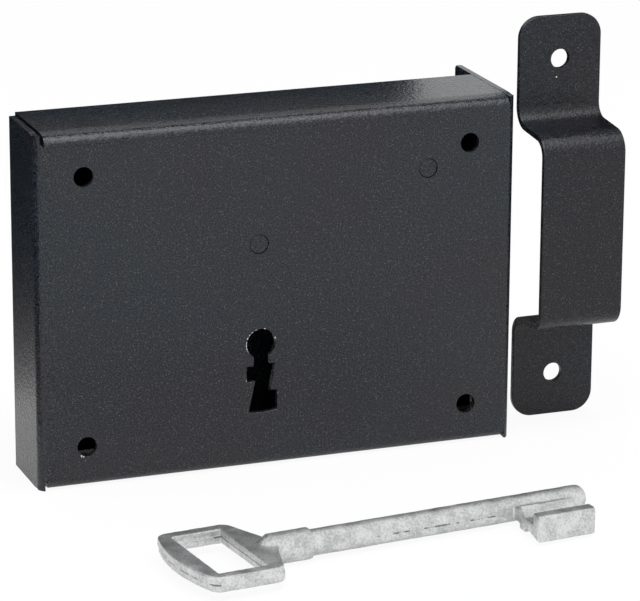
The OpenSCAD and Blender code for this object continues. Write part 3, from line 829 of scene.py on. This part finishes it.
# Studio
# A plain white table under one wide soft lamp. Dark screens of painted shade behind the lock, a
# bright strip over its front and a plain lid over the key hang round it: they show only in gloss,
# and light nothing.
WHITE = (1, 1, 1, 1)
TABLE_WHITE = (0.86, 0.86, 0.86, 1)
TABLE_PALE = (0.88, 0.88, 0.88, 1)
SEEN_LIFT = 0.92
MIRRORED_LIFT = 0.50
floor_shape = bmesh.new()
bmesh.ops.create_grid(floor_shape, x_segments=4, y_segments=4, size=3.0)
bmesh.ops.translate(floor_shape, vec=(0, 0, FLOOR_Z), verts=floor_shape.verts)
floor = shown(floor_shape, "floor")
floor_white, tree, shader = new_finish("floor_white")
shader.inputs["Roughness"].default_value = 0.9
shade = specks(tree, add(tree, "ShaderNodeTexCoord").outputs["Object"], 3.0, 1.0)
tree.links.new(blended(tree, shade, TABLE_WHITE, TABLE_PALE), shader.inputs["Base Color"])
path = add(tree, "ShaderNodeLightPath").outputs
mirrored = maths(tree, "MAXIMUM", path["Is Glossy Ray"], path["Is Transmission Ray"])
mirrored = maths(tree, "MULTIPLY", mirrored, MIRRORED_LIFT)
lift = maths(tree, "MULTIPLY_ADD", path["Is Camera Ray"], SEEN_LIFT, mirrored)
glow = add(tree, "ShaderNodeEmission", {"Color": WHITE, "Strength": 1.0})
lifted = add(tree, "ShaderNodeMixShader", {0: lift, 1: shader.outputs[0], 2: glow.outputs[0]})
tree.links.new(lifted.outputs[0], tree.nodes["Material Output"].inputs["Surface"])
floor.data.materials.append(floor_white)


def new_card_finish(name):
    """A material for a card, empty but for its way out."""
    material, tree, shader = new_finish(name)
    tree.nodes.remove(shader)
    return material, tree


def card_place(tree):
    """The place on a card, as its three coordinates."""
    place = add(tree, "ShaderNodeTexCoord").outputs["Object"]
    return add(tree, "ShaderNodeSeparateXYZ", {0: place}).outputs


def light_card(tree, strength):
    """Gives a card its plain white light."""
    glow = add(tree, "ShaderNodeEmission", {"Color": WHITE, "Strength": strength})
    tree.links.new(glow.outputs[0], tree.nodes["Material Output"].inputs["Surface"])


def mirrored_card(name, corners, finish):
    """A card in the studio that shows in glossy surfaces only, its corners in metres."""
    card = bmesh.new()
    card.faces.new([card.verts.new(corner) for corner in corners])
    hung = shown(card, name)
    hung.data.materials.append(finish)
    hung.visible_camera = False
    hung.visible_diffuse = False
    hung.visible_transmission = False
    hung.visible_volume_scatter = False
    hung.visible_shadow = False


# Screens: cards of painted shade seen only in gloss, with a painted glow that is palest at the white
# table and falls off with the height
PAINTED_TABLE_GLOW = 0.64
PAINTED_GLOW_FALL = 70.0
CARD_FOOT = FLOOR_Z + 0.0005
shade_card_painted_glow, tree = new_card_finish("shade_card_painted_glow")
fall = maths(tree, "MULTIPLY_ADD", card_place(tree)[Z], -PAINTED_GLOW_FALL, PAINTED_GLOW_FALL * FLOOR_Z)
light_card(tree, maths(tree, "MULTIPLY", maths(tree, "EXPONENT", fall), PAINTED_TABLE_GLOW))


def screen(name, start, end, top):
    """Upright card of painted shade, with a painted glow near the table, over the line from start to
    end, from the table to its top.
    """
    corners = [(*start, CARD_FOOT), (*end, CARD_FOOT), (*end, top), (*start, top)]
    mirrored_card(name, corners, shade_card_painted_glow)


def ceiling(name, left, right, near, far, height, finish):
    """Level card at a height, between left and right, near and far."""
    corners = [(left, near, height), (right, near, height)]
    corners += [(right, far, height), (left, far, height)]
    mirrored_card(name, corners, finish)


screen("screen_behind", (-0.600, 0.075), (0.0705, 0.075), 0.092)
screen("screen_side", (-0.090, -0.010), (-0.090, 0.075), 0.092)
screen("screen_keep", (0.0795, 0.035), (0.160, 0.035), 0.085)
screen("screen_right", (0.071, -0.0015), (0.071, 0.034), 0.057)
# Painted shade overhead: a dark card over the back, seen only in gloss.
ceiling("painted_shade_above", -0.8, 1.2, 0.03, 0.30, 0.50, shade_card_painted_glow)

# Bright strip over the front, which the folds catch, and a plain lid that keeps it off the key
STRIP_DIM = 0.9
STRIP_GAIN = 4.1
LID_LIGHT = 0.95
strip_light, tree = new_card_finish("strip_light")
spread = card_place(tree)
nearer = fade(tree, spread[Y], -0.62, -0.16)
lefter = fade(tree, spread[X], 0.34, 0.10)
level = maths(tree, "MULTIPLY", nearer, lefter)
light_card(tree, maths(tree, "MULTIPLY_ADD", level, STRIP_GAIN, STRIP_DIM))
ceiling("strip_above", -0.5, 0.9, -0.62, 0.03, 0.40, strip_light)
lid_white, tree = new_card_finish("lid_white")
light_card(tree, LID_LIGHT)
ceiling("lid_over_key", -0.160, 0.220, -0.160, -0.028, 0.045, lid_white)

# Lamp: one wide softbox over the front, unseen in gloss
LAMP_AT = Vector((0.05, -0.35, 1.10))
lamp_data = bpy.data.lights.new("overhead_softbox", "AREA")
lamp_data.shape = "RECTANGLE"
lamp_data.size = 0.9
lamp_data.size_y = 0.5
lamp_data.energy = 7.0
lamp = bpy.data.objects.new("overhead_softbox", lamp_data)
bpy.context.scene.collection.objects.link(lamp)
lamp_turn = (-LAMP_AT).to_track_quat("-Z", "Y").to_matrix().to_4x4()
lamp.matrix_world = Matrix.Translation(LAMP_AT) @ lamp_turn
lamp.visible_glossy = False

# Room: even soft light on the lock, and plain white where the camera or a mirrored ray meets it
ROOM_LIGHT = 0.75
world = bpy.data.worlds.new("studio")
bpy.context.scene.world = world
world.use_nodes = True
tree = world.node_tree
back = tree.nodes["Background"]
back.inputs["Color"].default_value = WHITE
back.inputs["Strength"].default_value = 1.0
room = add(tree, "ShaderNodeBackground", {"Color": WHITE, "Strength": ROOM_LIGHT})
path = add(tree, "ShaderNodeLightPath").outputs
seen = maths(tree, "MAXIMUM", path["Is Camera Ray"], path["Is Glossy Ray"])
seen = maths(tree, "MAXIMUM", seen, path["Is Transmission Ray"])
mixed = add(tree, "ShaderNodeMixShader", {0: seen, 1: room.outputs[0], 2: back.outputs[0]})
tree.links.new(mixed.outputs[0], tree.nodes["World Output"].inputs["Surface"])

bpy.context.scene.view_settings.view_transform = "Standard"
